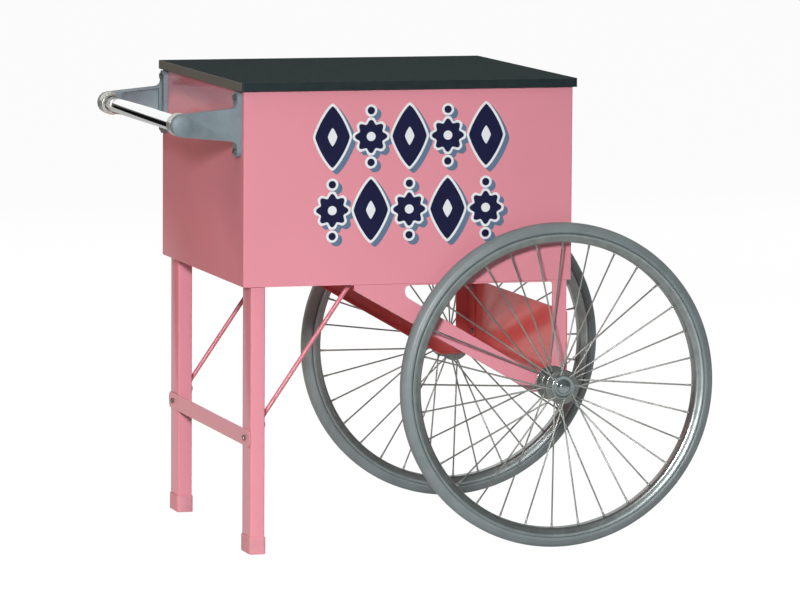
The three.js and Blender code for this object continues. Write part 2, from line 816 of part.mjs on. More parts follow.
cart.add(mesh("axle_cross_panel", axlePanel(), pinkPaint));
for (const { name, side } of sides) {
  cart.add(mesh(`${name}_wheel_bracket`, wheelBracket(side), pinkPaint));
  for (const fixing of panelBolts(side)) {
    cart.add(mesh(`${name}_panel_${fixing.level}_bolt`, bolted(fixing), zincPlate));
  }
}

// Wheels: every height here is measured outward along the axle from the cabinet's side.
const innerFlange = wheelOut - hubFlangeSpread / 2;
const outerFlange = wheelOut + hubFlangeSpread / 2;
const nutSeat = hubOuterEnd - nutWellDepth;
const bushRadius = axleRadius + runGap + bushWall;
const spokeLift = hubFlangeThickness / 2 + spokeRadius;
const nutStart = nutSeat + seatGap + washerThickness + seatGap;
const threadEnd = nutStart + nutHeight + threadProud;
const onAxle = (side, out) => at(axleX, side * (sideY + out), axleZ);

function onWheel(profile, segments, side, flats = true) {
  return aimed(turned(profile, segments, flats), onAxle(side, 0), at(0, side, 0));
}

// A profile that is the same on both sides of the wheel's plane, given as one half from rim to tread.
function mirrored(half) {
  const outward = half.map(([radius, offset]) => [radius, wheelOut + offset]);
  const inward = half.map(([radius, offset]) => [radius, wheelOut - offset]).reverse();
  return ring(...outward, ...inward);
}

function tyre(side) {
  const half = [
    [rimRadius + rimWall + seatGap, rimWell / 2 - rimWall],
    [rimLipRadius + seatGap, rimWidth / 2 - rimWall - seatGap],
    [rimLipRadius + tyreBellyRise, tyreWidth / 2],
    [wheelRadius - tyreShoulderDrop, tyreWidth / 2 - tyreShoulderIn],
    [wheelRadius, treadWidth / 2],
  ];
  return onWheel(mirrored(half), wheelSegments, side);
}

function rim(side) {
  const outward = [
    [rimRadius, rimWell / 2],
    [rimLipRadius, rimWidth / 2],
    [rimLipRadius, rimWidth / 2 - rimWall],
    [rimRadius + rimWall, rimWell / 2 - rimWall / 2],
  ];
  const inward = outward.map(([radius, offset]) => [radius, -offset]).reverse();
  const profile = ring(...outward, ...inward).map(([radius, offset]) => [radius, wheelOut + offset]);
  return onWheel(profile, wheelSegments, side);
}

// Spokes cross one neighbour: they leave the two flanges in turn, and on each flange they sweep ahead and
// back in turn. Angles are the ones seen from outside, so the two wheels are alike.
function spokes(side, phase) {
  const step = 360 / spokeCount;
  const place = (degrees, radius, out) => {
    const angle = THREE.MathUtils.degToRad(-side * degrees);
    return onAxle(side, out).add(at(radius * Math.cos(angle), 0, radius * Math.sin(angle)));
  };
  const pieces = [];
  for (let k = 0; k < spokeCount; k += 1) {
    const outboard = k % 2 === 1;
    const sweep = k % 4 === 0 || k % 4 === 3 ? 1 : -1;
    const flange = outboard ? outerFlange : innerFlange;
    const rimAngle = phase + k * step;
    const hubAngle = rimAngle + sweep * spokeLean + (outboard ? outerHoleTwist : 0);
    const face = outboard ? sweep : -sweep;
    const elbow = place(hubAngle, hubHoleCircle, flange + face * spokeLift);
    const end = place(rimAngle, rimRadius - 2 * seatGap, wheelOut);
    const length = end.distanceTo(elbow);
    const profile = [
      [0, 0],
      [spokeRadius, 0],
      [spokeRadius, length - nippleLength],
      [nippleRadius, length - nippleLength],
      [nippleRadius, length],
      [0, length],
    ];
    const root = place(hubAngle, hubHoleCircle, flange);
    const bend = place(hubAngle, hubHoleCircle, flange + face * (spokeLift + spokeRadius));
    pieces.push(
      aimed(turned(profile, spokeSides, false), elbow, end.clone().sub(elbow).normalize()),
      pin(root, bend, spokeBendRadius, spokeSides),
    );
  }
  return pieces;
}

function spokedHub(side, phase) {
  const half = hubFlangeThickness / 2;
  const body = onWheel(
    [
      [0, hubInnerEnd],
      [hubBarrelRadius, hubInnerEnd],
      [hubFlangeRadius, innerFlange - half],
      [hubFlangeRadius, innerFlange + half],
      [hubBarrelRadius, innerFlange + half + hubFillet],
      [hubBarrelRadius, outerFlange - half - hubFillet],
      [hubFlangeRadius, outerFlange - half],
      [hubFlangeRadius, outerFlange + half],
      [hubBarrelRadius, outerFlange + half],
      [hubBarrelRadius, hubOuterEnd],
      [0, hubOuterEnd],
    ],
    hubSides,
    side,
  );
  const outside = onAxle(side, hubOuterEnd + past);
  return cut(
    join(body, ...spokes(side, phase)),
    hole(onAxle(side, hubInnerEnd - past), outside, bushRadius + seatGap, sleeveSides),
    hole(onAxle(side, nutSeat), outside, nutWell, hubSides),
  );
}

// A plain bush or washer: its bore clears the radius given, between two places along the axle.
function sleeve(bore, outer, [low, high], side) {
  const corner = bore / Math.cos(Math.PI / sleeveSides);
  return onWheel(ring([corner, low], [outer, low], [outer, high], [corner, high]), sleeveSides, side, false);
}

// The pressed cap sits on the hub's outer lip, clear of the spokes.
function hubCap(side) {
  const lip = hubBarrelRadius / Math.cos(Math.PI / hubSides);
  const grip = (lip + seatGap) / Math.cos(Math.PI / capSides);
  const skirtLow = outerFlange + hubFlangeThickness / 2 + seatGap;
  const discLow = outerFlange + spokeLift + spokeRadius + seatGap;
  const discHigh = discLow + capWall;
  const profile = [
    ...dome(capDomeRadius - capWall, discHigh, capDomeHeight - capWall).reverse(),
    [capDomeRadius - capWall, hubOuterEnd + seatGap],
    [grip, hubOuterEnd + seatGap],
    [grip, skirtLow],
    [grip + capSkirt, skirtLow],
    [grip + capSkirt, discLow],
    [capRadius, discLow],
    [capRadius - capWall / 2, discHigh],
    ...dome(capDomeRadius, discHigh, capDomeHeight),
  ];
  return onWheel(profile, capSides, side, false);
}

function axleNut(side) {
  const nut = onWheel(
    [
      [0, nutStart],
      [nutAcross / 2, nutStart],
      [nutAcross / 2, nutStart + nutHeight],
      [0, nutStart + nutHeight],
    ],
    6,
    side,
  );
  const inside = onAxle(side, nutStart - past);
  return cut(nut, hole(inside, onAxle(side, threadEnd), threadRadius + seatGap, sleeveSides));
}

function axle() {
  const shoulder = sideY + nutSeat;
  const tip = sideY + threadEnd;
  const profile = [
    [0, -tip],
    [threadRadius, -tip],
    [threadRadius, -shoulder],
    [axleRadius, -shoulder],
    [axleRadius, shoulder],
    [threadRadius, shoulder],
    [threadRadius, tip],
    [0, tip],
  ];
  return aimed(turned(profile, sleeveSides, false), at(axleX, 0, axleZ), at(0, 1, 0));
}

cart.add(mesh("axle", axle(), zincPlate));
for (const { name, side, spokePhase } of sides) {
  const running = axleRadius + runGap;
  const innerBush = sleeve(running, bushRadius, [hubInnerEnd, hubInnerEnd + bushLength], side);
  const outerBush = sleeve(running, bushRadius, [nutSeat - bushLength, nutSeat], side);
  const thrustWasher = sleeve(running, hubBarrelRadius, [seatGap, hubInnerEnd - seatGap], side);
  const endSpan = [nutSeat + seatGap, nutSeat + seatGap + washerThickness];
  const endWasher = sleeve(threadRadius + seatGap, nutWell - washerPlay, endSpan, side);
  cart.add(mesh(`${name}_tyre`, tyre(side), greyRubber));
  cart.add(mesh(`${name}_rim`, rim(side), chrome));
  cart.add(mesh(`${name}_spoked_hub`, spokedHub(side, spokePhase), chrome));
  cart.add(mesh(`${name}_inner_bush`, innerBush, bronze));
  cart.add(mesh(`${name}_outer_bush`, outerBush, bronze));
  cart.add(mesh(`${name}_hub_cap`, hubCap(side), chrome));
  cart.add(mesh(`${name}_thrust_washer`, thrustWasher, zincPlate));
  cart.add(mesh(`${name}_end_washer`, endWasher, zincPlate));
  cart.add(mesh(`${name}_axle_nut`, axleNut(side), zincPlate));
}

export default cart;
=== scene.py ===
# %% [markdown]
# # A two-wheeled vending cart
# The cart is a pink steel cabinet with a dark counter, on two legs and two big wire wheels, with a push bar
# at the leg end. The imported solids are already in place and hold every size. This script gives them their
# finish, and replaces the pieces whose round forms a faceted solid only suggests.

# %% Load the solids
import json
import math

import bmesh
import bpy
import numpy as np
from mathutils import Matrix, Vector

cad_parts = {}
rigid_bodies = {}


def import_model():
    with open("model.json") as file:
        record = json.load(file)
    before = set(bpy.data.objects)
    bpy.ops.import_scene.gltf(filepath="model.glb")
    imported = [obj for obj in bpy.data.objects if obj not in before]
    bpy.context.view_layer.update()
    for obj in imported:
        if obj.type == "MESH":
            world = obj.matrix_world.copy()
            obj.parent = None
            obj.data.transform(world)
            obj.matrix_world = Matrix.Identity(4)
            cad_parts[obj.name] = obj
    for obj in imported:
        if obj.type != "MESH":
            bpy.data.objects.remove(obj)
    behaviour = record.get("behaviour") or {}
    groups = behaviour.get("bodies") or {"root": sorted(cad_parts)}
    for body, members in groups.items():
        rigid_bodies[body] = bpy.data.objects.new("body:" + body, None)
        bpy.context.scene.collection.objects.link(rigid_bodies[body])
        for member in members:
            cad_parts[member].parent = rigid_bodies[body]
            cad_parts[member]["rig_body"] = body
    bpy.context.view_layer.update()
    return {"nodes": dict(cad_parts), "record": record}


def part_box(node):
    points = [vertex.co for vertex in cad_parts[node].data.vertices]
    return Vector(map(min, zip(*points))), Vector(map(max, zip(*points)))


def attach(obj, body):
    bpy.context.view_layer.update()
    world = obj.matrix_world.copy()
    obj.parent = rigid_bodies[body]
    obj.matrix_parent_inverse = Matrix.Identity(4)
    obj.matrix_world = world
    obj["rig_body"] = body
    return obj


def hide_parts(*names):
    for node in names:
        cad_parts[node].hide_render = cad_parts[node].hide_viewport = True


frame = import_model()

SIDES = {"right": -1, "left": 1}
MM = 0.001
scene = bpy.context.scene

# %% [markdown]
# ## Camera
# The photograph was taken from far away with a long lens, so upright edges stay almost parallel. Its place
# and angles come from fitting a pinhole camera to the cabinet's corners, the feet and both wheels. Building
# the three axes of the camera by hand keeps its small roll, which aiming it at a target would lose.

# %% Camera
CAMERA_AT = Vector((-3.0107, -10.2961, 1.6241))
CAMERA_YAW = math.radians(16.3368)
CAMERA_PITCH = math.radians(6.3408)
CAMERA_ROLL = math.radians(0.3466)
FOCAL_PIXELS = 5644.0
PHOTO_WIDTH = 800
SENSOR = 36.0
FARTHEST_SEEN = 100

ahead = Vector((math.sin(CAMERA_YAW) * math.cos(CAMERA_PITCH),
                math.cos(CAMERA_YAW) * math.cos(CAMERA_PITCH),
                -math.sin(CAMERA_PITCH)))
level = Vector((math.cos(CAMERA_YAW), -math.sin(CAMERA_YAW), 0))
upright = level.cross(ahead)
rightward = math.cos(CAMERA_ROLL) * level + math.sin(CAMERA_ROLL) * upright
upward = math.cos(CAMERA_ROLL) * upright - math.sin(CAMERA_ROLL) * level

camera_data = bpy.data.cameras.new("camera")
camera_data.sensor_width = SENSOR
camera_data.lens = FOCAL_PIXELS / PHOTO_WIDTH * SENSOR
camera_data.clip_end = FARTHEST_SEEN
camera = bpy.data.objects.new("camera", camera_data)
scene.collection.objects.link(camera)
turn = Matrix((rightward, upward, -ahead)).transposed().to_4x4()
camera.matrix_world = Matrix.Translation(CAMERA_AT) @ turn
scene.camera = camera
print("lens", round(camera_data.lens, 1), "mm")

# %% [markdown]
# ## Surround
# The photograph has a plain white ground, but a white world would light the cart from everywhere and leave no
# shade. So the surround is white only to the camera. As a light it is dim, and a little brighter where a
# polished surface mirrors it.

# %% Surround
FILL_COLOUR = (0.97, 0.98, 1.0, 1)
FILL_STRENGTH = 0.11
MIRRORED_STRENGTH = 0.12


def grey(value):
    """A shade of grey as the four numbers of a colour."""
    return value, value, value, 1


def node(tree, kind, **inputs):
    """Adds a node of that kind and sets the inputs given by name."""
    made = tree.nodes.new(kind)
    for name, value in inputs.items():
        made.inputs[name.replace("_", " ")].default_value = value
    return made


def maths(tree, operation, first, second):
    """A maths node, where each of the two values is a number or the output of another node."""
    made = tree.nodes.new("ShaderNodeMath")
    made.operation = operation
    for socket, value in zip(made.inputs, (first, second)):
        if isinstance(value, (int, float)):
            socket.default_value = value
        else:
            tree.links.new(value, socket)
    return made.outputs[0]


def mixed_surface(tree, share, first, second, out_kind):
    """Ends a tree with the first shader, mixed with a share of the second."""
    mix = tree.nodes.new("ShaderNodeMixShader")
    out = tree.nodes.new(out_kind)
    tree.links.new(share, mix.inputs[0])
    tree.links.new(first.outputs[0], mix.inputs[1])
    tree.links.new(second.outputs[0], mix.inputs[2])
    tree.links.new(mix.outputs[0], out.inputs["Surface"])


def studio_surround():
    """The world's light. Its strength is the fill strength, plus the difference between the mirrored and the
    fill strength for the rays that leave a polished surface."""
    world = bpy.data.worlds.new("surround")
    scene.world = world
    world.use_nodes = True
    tree = world.node_tree
    tree.nodes.clear()
    seen = node(tree, "ShaderNodeBackground", Color=grey(1), Strength=1.0)
    lit = node(tree, "ShaderNodeBackground", Color=FILL_COLOUR, Strength=FILL_STRENGTH)
    path = tree.nodes.new("ShaderNodeLightPath")
    gain = maths(tree, "MULTIPLY", path.outputs["Is Glossy Ray"], MIRRORED_STRENGTH - FILL_STRENGTH)
    tree.links.new(maths(tree, "ADD", FILL_STRENGTH, gain), lit.inputs["Strength"])
    mixed_surface(tree, path.outputs["Is Camera Ray"], lit, seen, "ShaderNodeOutputWorld")


scene.view_settings.view_transform = "Standard"
studio_surround()
print("surround", scene.world.name)

# %% [markdown]
# ## Lamps, floor and card
# The key lamp stands far off at the front left, a little higher than the cart, so the space under the cabinet
# stays in shade. Two warm lamps at the left reach the push bar's end, and a wide weak one lights the top. A
# wide backdrop lamp behind gives chrome something bright to mirror, and a black card on the floor behind, out
# of the picture, gives it its dark stripe. Two more lamps light the back and the wheel end, which the
# photograph doesn't show. The floor mixes plain white into what the camera sees, so it reads as paper but
# still takes the cart's shadow, and it throws less light back than it shows.

# %% Lamps, floor and card
FLOOR_HALF = 60.0
CARD_BLACK = 0.02
CART_MIDDLE = (0, 0, 0.5)


def softbox(name, place, target, size, power, colour=(1, 1, 1), spread=180, mirrored=True):
    """A rectangular lamp at a place, aimed at a target; the camera sees its light but not the lamp. A spread
    below 180 degrees works like a grid on the lamp: the light is strongest along its axis."""
    data = bpy.data.lights.new(name, "AREA")
    data.shape = "RECTANGLE"
    data.size, data.size_y = size
    data.energy = power
    data.color = colour
    data.spread = math.radians(spread)
    lamp = bpy.data.objects.new(name, data)
    scene.collection.objects.link(lamp)
    aim = (Vector(target) - Vector(place)).to_track_quat("-Z", "Y")
    lamp.matrix_world = Matrix.Translation(place) @ aim.to_matrix().to_4x4()
    lamp.visible_camera = False
    lamp.visible_glossy = mirrored


def flat_sheet(name, material_name, low, high, height):
    """A level rectangle between two corners, which is part of the studio and not of the cart, and the empty
    node tree of its material."""
    mesh = bpy.data.meshes.new(name)
    corners = [(low[0], low[1], height), (high[0], low[1], height), (high[0], high[1], height),
               (low[0], high[1], height)]
    mesh.from_pydata(corners, [], [(0, 1, 2, 3)])
    sheet = bpy.data.objects.new(name, mesh)
    scene.collection.objects.link(sheet)
    material = bpy.data.materials.new(material_name)
    material.use_nodes = True
    material.node_tree.nodes.clear()
    mesh.materials.append(material)
    return sheet, material.node_tree


def paper_floor(paper_share, mirrored_share, tone_seen, tone_thrown, white):
    """A wide floor: matt paper, with a share of glowing white in what the camera and reflections see. The
    matt part has one tone for the camera and a darker one for the light that it throws back at the cart."""
    _, tree = flat_sheet("floor", "floor_paper", (-FLOOR_HALF, -FLOOR_HALF), (FLOOR_HALF, FLOOR_HALF), 0)
    matt = node(tree, "ShaderNodeBsdfDiffuse")
    tone = node(tree, "ShaderNodeMixRGB", Color1=grey(tone_thrown), Color2=grey(tone_seen))
    paper = node(tree, "ShaderNodeEmission", Color=grey(1), Strength=white)
    path = tree.nodes.new("ShaderNodeLightPath")
    tree.links.new(path.outputs["Is Camera Ray"], tone.inputs["Fac"])
    tree.links.new(tone.outputs["Color"], matt.inputs["Color"])
    seen = maths(tree, "MULTIPLY", path.outputs["Is Camera Ray"], paper_share)
    mirrored = maths(tree, "MULTIPLY", path.outputs["Is Glossy Ray"], mirrored_share)
    share = maths(tree, "MAXIMUM", seen, mirrored)
    mixed_surface(tree, share, matt, paper, "ShaderNodeOutputMaterial")


def black_card(low, high, height):
    """A matt black card that only reflections show."""
    sheet, tree = flat_sheet("card", "card_black", low, high, height)
    matt = node(tree, "ShaderNodeBsdfDiffuse", Color=grey(CARD_BLACK))
    out = tree.nodes.new("ShaderNodeOutputMaterial")
    tree.links.new(matt.outputs[0], out.inputs["Surface"])
    sheet.visible_camera = sheet.visible_diffuse = sheet.visible_shadow = False


paper_floor(paper_share=0.88, mirrored_share=0.35, tone_seen=0.86, tone_thrown=0.42, white=1.085)
black_card(low=(-18.0, 1.4), high=(-1.05, 58.0), height=0.01)
softbox("key", (-2.65, -6.6, 2.22), (-0.26, -0.31, -0.40), (0.72, 0.64), 47.5, (1, 1, 1.02), spread=56)
softbox("low_side", (-2.3, 0.7, 0.15), (-0.38, 0.4, 0.40), (0.8, 0.3), 3.0, (1, 0.76, 0.54), spread=80,
        mirrored=False)
softbox("high_side", (-2.6, -1.3, 3.4), (0, 0, 0.4), (0.9, 0.9), 11, (1, 0.70, 0.50), mirrored=False)
softbox("top", (0.2, -0.9, 3.0), CART_MIDDLE, (2.5, 2.5), 12, mirrored=False)
softbox("rear", (1.2, 5.6, 2.3), CART_MIDDLE, (1.6, 1.2), 22, spread=70, mirrored=False)
softbox("wheel_end", (5.5, 1.2, 1.8), (0.2, 0, 0.5), (1.2, 1.2), 15, spread=70, mirrored=False)
softbox("backdrop", (0, 6.5, 2.9), (0, 0, 2.9), (16, 3.4), 170)

# %% [markdown]
# ## Finishes
# Every finish starts from one recipe: a base colour that wanders a little over the surface, a roughness that
# wanders too, and a fine bump. The patterns read object coordinates, in metres, so a texture size is a real
# size. What differs from finish to finish is the scale of each pattern and how strong it is.

# %% Finish recipe
SLOW_RANGE = (0.3, 0.7)
FINE_RANGE = (0.38, 0.62)
SMOOTHEST = 0.02
FINISHES = {}


def ramp(tree, positions, dark, light):
    """A colour ramp from a dark colour at the first position to a light one at the second."""
    made = tree.nodes.new("ShaderNodeValToRGB")
    for stop, position, colour in zip(made.color_ramp.elements, positions, (dark, light)):
        stop.position = position
        stop.color = colour
    return made


def finish(name, colour, roughness, metal=0.0, drift=0.04, patch=6.0, grain=900.0, bump=0.05, depth=0.0003,
           speck=0.0, rough_drift=0.05, **sockets):
    """Adds a principled surface to the finishes. Slow noise carries the colour c between c (1 - drift) and
    c (1 + drift), and the roughness likewise; fine noise darkens it with specks and bumps the surface."""
    material = bpy.data.materials.new(name)
    material.use_nodes = True
    tree = material.node_tree
    shader = tree.nodes["Principled BSDF"]
    shader.inputs["Metallic"].default_value = metal
    for key, value in sockets.items():
        shader.inputs[key.replace("_", " ")].default_value = value
    place = tree.nodes.new("ShaderNodeTexCoord")
    slow = node(tree, "ShaderNodeTexNoise", Scale=patch, Detail=4.0)
    fine = node(tree, "ShaderNodeTexNoise", Scale=grain, Detail=2.0)
    darker = (*[c * (1 - drift) for c in colour], 1)
    lighter = (*[min(1, c * (1 + drift)) for c in colour], 1)
    tint = ramp(tree, SLOW_RANGE, darker, lighter)
    grit = ramp(tree, FINE_RANGE, grey(1 - speck), grey(1))
    mixed = node(tree, "ShaderNodeMixRGB", Fac=1.0)
    mixed.blend_type = "MULTIPLY"
    sheen = node(tree, "ShaderNodeMapRange", To_Min=max(SMOOTHEST, roughness - rough_drift),
                 To_Max=roughness + rough_drift)
    relief = node(tree, "ShaderNodeBump", Strength=bump, Distance=depth)
    link = tree.links.new
    link(place.outputs["Object"], slow.inputs["Vector"])
    link(place.outputs["Object"], fine.inputs["Vector"])
    link(slow.outputs["Fac"], tint.inputs["Fac"])
    link(slow.outputs["Fac"], sheen.inputs["Value"])
    link(fine.outputs["Fac"], grit.inputs["Fac"])
    link(fine.outputs["Fac"], relief.inputs["Height"])
    link(tint.outputs["Color"], mixed.inputs["Color1"])
    link(grit.outputs["Color"], mixed.inputs["Color2"])
    link(mixed.outputs["Color"], shader.inputs["Base Color"])
    link(sheen.outputs["Result"], shader.inputs["Roughness"])
    link(relief.outputs["Normal"], shader.inputs["Normal"])
    FINISHES[name] = material


# %% Finishes of this cart
finish("pink_paint", (0.715, 0.270, 0.322), 0.20, drift=0.025, patch=5, grain=650, bump=0.06,
       Specular_IOR_Level=0.5)
finish("black_laminate", (0.062, 0.080, 0.080), 0.58, drift=0.10, patch=90, grain=2400, bump=0.2, speck=0.25,
       Specular_IOR_Level=0.0)
finish("edge_band", (0.018, 0.029, 0.030), 0.40, drift=0.12, patch=60, grain=1500, bump=0.1, speck=0.1,
       Specular_IOR_Level=0.15)
finish("zinc_plate", (0.34, 0.36, 0.35), 0.36, metal=1.0, drift=0.14, patch=80, grain=1500, bump=0.12,
       speck=0.12, rough_drift=0.1)
finish("chrome_plate", (0.80, 0.81, 0.80), 0.08, metal=1.0, drift=0.03, patch=20, grain=900, bump=0.02,
       rough_drift=0.03)
finish("cast_aluminium", (0.215, 0.272, 0.298), 0.55, metal=0.2, drift=0.10, patch=45, grain=1100, bump=0.5,
       speck=0.12)
finish("pink_plastic", (0.66, 0.275, 0.315), 0.5, drift=0.08, patch=40, grain=1200, bump=0.25,
       Subsurface_Weight=0.1, Subsurface_Scale=0.004)
finish("grey_rubber", (0.195, 0.232, 0.232), 0.42, drift=0.10, patch=25, grain=1100, bump=0.35, speck=0.12,
       Specular_IOR_Level=0.6)
finish("bronze", (0.50, 0.34, 0.16), 0.4, metal=1.0, drift=0.1, patch=60, grain=1500, bump=0.2)
# A deeper pink-red copy of the paint for the cross panel and the wheel brackets' inward faces: painted shade,
# standing in for the shade under the cabinet.
finish("shade_painted_pink", (0.72, 0.125, 0.12), 0.12, drift=0.05, patch=9, grain=650, bump=0.08,
       Specular_IOR_Level=0.5)
# A darker copy of the pink paint for the forged rods: painted shade.
finish("rod_pink_painted_shade", (0.62, 0.185, 0.225), 0.30, drift=0.04, patch=9, grain=650, bump=0.08,
       Specular_IOR_Level=0.35)
# A lighter taupe copy of the edge band for its end faces: a painted reflection of the grazing sheen the ends
# catch.
finish("end_painted_sheen", (0.13, 0.124, 0.105), 0.45, drift=0.12, patch=60, grain=1500, bump=0.1, speck=0.15,
       Specular_IOR_Level=0.3)
slot_of = {part["node"]: part["material_slot"] for part in frame["record"]["subparts"]}
body_of = {name: solid["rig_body"] for name, solid in frame["nodes"].items()}
for name, solid in frame["nodes"].items():
    solid.data.materials.clear()
    solid.data.materials.append(FINISHES[slot_of[name]])
print("finishes:", sorted(FINISHES))

# %% [markdown]
# ## Softened sheet metal and castings
# Folded sheet, tube and castings never have knife edges: the narrow rounding at each edge is what catches the
# light. The flat pieces already have the right outline, so each is copied, its triangles are merged back into
# whole faces, and a bevel rounds the edges by about the radius that folding or casting leaves.

# %% Softened copies
SAME_PLACE = 2e-6
FLAT_ANGLE = math.radians(0.6)


def show(mesh, name, look, body, replaced=()):
    """Links a finished mesh as a piece of the cart, on a body, in place of the solids that it stands for."""
    piece = bpy.data.objects.new(name, mesh)
    scene.collection.objects.link(piece)
    mesh.materials.clear()
    mesh.materials.append(FINISHES[look])
    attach(piece, body)
    if replaced:
        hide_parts(*replaced)
    return piece


def softened(name, radius, look=None, steps=2, smooth=40):
    """A copy of a solid with merged faces and rounded edges, which replaces it."""
    form = bmesh.new()
    form.from_mesh(frame["nodes"][name].data)
    bmesh.ops.remove_doubles(form, verts=form.verts, dist=SAME_PLACE)
    bmesh.ops.dissolve_limit(form, angle_limit=FLAT_ANGLE, verts=form.verts, edges=form.edges)
    mesh = bpy.data.meshes.new(name + "_soft")
    form.to_mesh(mesh)
    form.free()
    mesh.polygons.foreach_set("use_smooth", np.ones(len(mesh.polygons), bool))
    mesh.set_sharp_from_angle(angle=math.radians(smooth))
    piece = show(mesh, name + "_soft", look or slot_of[name], body_of[name], [name])
    bevel = piece.modifiers.new("edges", "BEVEL")
    bevel.width = radius
    bevel.segments = steps
    bevel.limit_method = "ANGLE"
    bevel.angle_limit = math.radians(smooth)
    bevel.harden_normals = True
    return piece


def second_look(mesh, look, chosen):
    """Gives another finish to the faces that the test chooses."""
    mesh.materials.append(FINISHES[look])
    for face in mesh.polygons:
        face.material_index = int(chosen(face))


# %% Edge radii in millimetres
# Edge band faces whose normal lies along the cart's length more than this take the lighter strip, which is a
# painted reflection.
SHEEN_END_NORMAL = 0.7
# Wheel bracket faces that face outward less than this take the deeper pink, which is painted shade.
SHADE_PAINTED_FACING = 0.5
SIDE_RADII = {
    "leg": 0.6, "leg_cap": 1.2, "wheel_bracket": 0.8, "handle_bracket": 1.6, "axle_nut": 0.6,
    "cross_brace_bolt": 0.6, "diagonal_lower_bolt": 0.6, "diagonal_upper_bolt": 0.6,
    "handle_upper_bolt": 0.6, "handle_lower_bolt": 0.6, "panel_upper_bolt": 0.6, "panel_lower_bolt": 0.6,
}
edge_radii = {
    "cabinet_shell": 0.4, "counter_top": 0.8, "counter_edge_band": 0.5, "leg_cross_brace": 0.5,
    "axle_cross_panel": 0.5, "handle_end_door": 0.4, "wheel_end_door": 0.4, "lower_door_track": 0.3,
    "upper_door_track": 0.3,
}
for side in SIDES:
    edge_radii |= {f"{side}_{part}": radius for part, radius in SIDE_RADII.items()}
# The cross panel and the brackets' inward faces take the deeper pink, which is painted shade.
for name, radius in edge_radii.items():
    mesh = softened(name, radius * MM, "shade_painted_pink" if name == "axle_cross_panel" else None).data
    # The edge band's end faces take the lighter strip, which is a painted reflection.
    if name == "counter_edge_band":
        second_look(mesh, "end_painted_sheen", lambda face: abs(face.normal.x) > SHEEN_END_NORMAL)
    if name.endswith("wheel_bracket"):
        out = SIDES[name.split("_")[0]]
        second_look(mesh, "shade_painted_pink", lambda face: face.normal.y * out <= SHADE_PAINTED_FACING)
print("softened:", len(edge_radii))

# %% [markdown]
# ## Turned pieces
# Tyres, rims, hubs, caps, the push bar and the doors' finger cups are bodies of revolution. A profile of
# radius and distance along the axis is turned about it, as one array: every ring of points is the profile
# times the cosine and sine of an angle. A profile that starts and ends on the axis closes at its poles; any
# other closes on itself.

# %% Meshes from arrays
WELD = 1e-7
NO_LENGTH = 1e-8
CORNER_SHARE = 0.45


def put_mesh(name, points, faces, sharp=None):
    """Puts points and faces into a mesh, welds doubles and turns the faces outward. Edges where two faces
    meet at more than the sharp angle stay crisp."""
    mesh = bpy.data.meshes.new(name)
    mesh.from_pydata(points.tolist(), [], faces)
    form = bmesh.new()
    form.from_mesh(mesh)
    bmesh.ops.remove_doubles(form, verts=form.verts, dist=WELD)
    bmesh.ops.dissolve_degenerate(form, edges=form.edges, dist=NO_LENGTH)
    bmesh.ops.recalc_face_normals(form, faces=form.faces)
    form.to_mesh(mesh)
    form.free()
    mesh.polygons.foreach_set("use_smooth", np.ones(len(mesh.polygons), bool))
    if sharp:
        mesh.set_sharp_from_angle(angle=math.radians(sharp))
    return mesh


def around(count):
    """The angles of a full turn in equal steps."""
    return np.linspace(0, 2 * np.pi, count, endpoint=False)


def grid_faces(rows, columns, wrap_rows=False, wrap_columns=True):
    """The corners of the four-sided faces of a grid whose points are numbered row by row."""
    last_row, last_column = rows - 1 + wrap_rows, columns - 1 + wrap_columns
    r, c = np.meshgrid(np.arange(last_row), np.arange(last_column), indexing="ij")
    r2, c2 = (r + 1) % rows, (c + 1) % columns
    corners = [r * columns + c, r * columns + c2, r2 * columns + c2, r2 * columns + c]
    return np.stack(corners, -1).reshape(-1, 4)


def curve(start, corner, end, t):
    """The quadratic curve: start times (1 - t) squared, corner times 2 t (1 - t), and end times t squared."""
    return (1 - t) ** 2 * start + 2 * t * (1 - t) * corner + t ** 2 * end


def rounded(profile, radius, steps=3):
    """The profile with every inner corner replaced by a curve, which starts radius away from the corner, or
    at the corner share of a short edge."""
    profile = np.asarray(profile, float)
    out = [profile[:1]]
    for before, corner, after in zip(profile[:-2], profile[1:-1], profile[2:]):
        back, on = before - corner, after - corner
        reach = min(radius, CORNER_SHARE * np.linalg.norm(back), CORNER_SHARE * np.linalg.norm(on))
        start = corner + back / np.linalg.norm(back) * reach
        end = corner + on / np.linalg.norm(on) * reach
        out.append(curve(start, corner, end, np.linspace(0, 1, steps + 1)[:, None]))
    out.append(profile[-1:])
    return np.concatenate(out)


def both_halves(half):
    """A whole profile from one half: the half, then the same points mirrored in the middle plane."""
    half = np.asarray(half, float)
    return np.concatenate([half, half[::-1] * (1, -1)])


def revolve(name, profile, centre, out, segments, closed=True, sharp=35):
    """Turns a profile of [radius, distance outward] about the line through centre along Y: a profile point
    (r, d) becomes the ring (cx + r cos a, cy + out d, cz + r sin a)."""
    angle = around(segments)
    radius, reach = profile[:, :1], profile[:, 1:]
    points = np.stack([
        centre[0] + radius * np.cos(angle),
        centre[1] + out * reach + 0 * angle,
        centre[2] + radius * np.sin(angle),
    ], -1)
    faces = grid_faces(len(profile), segments, wrap_rows=closed)
    return put_mesh(name, points.reshape(-1, 3), faces.tolist(), sharp)


def middle(name):
    """The middle of a solid's box."""
    low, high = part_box(name)
    return np.array((low + high) / 2)
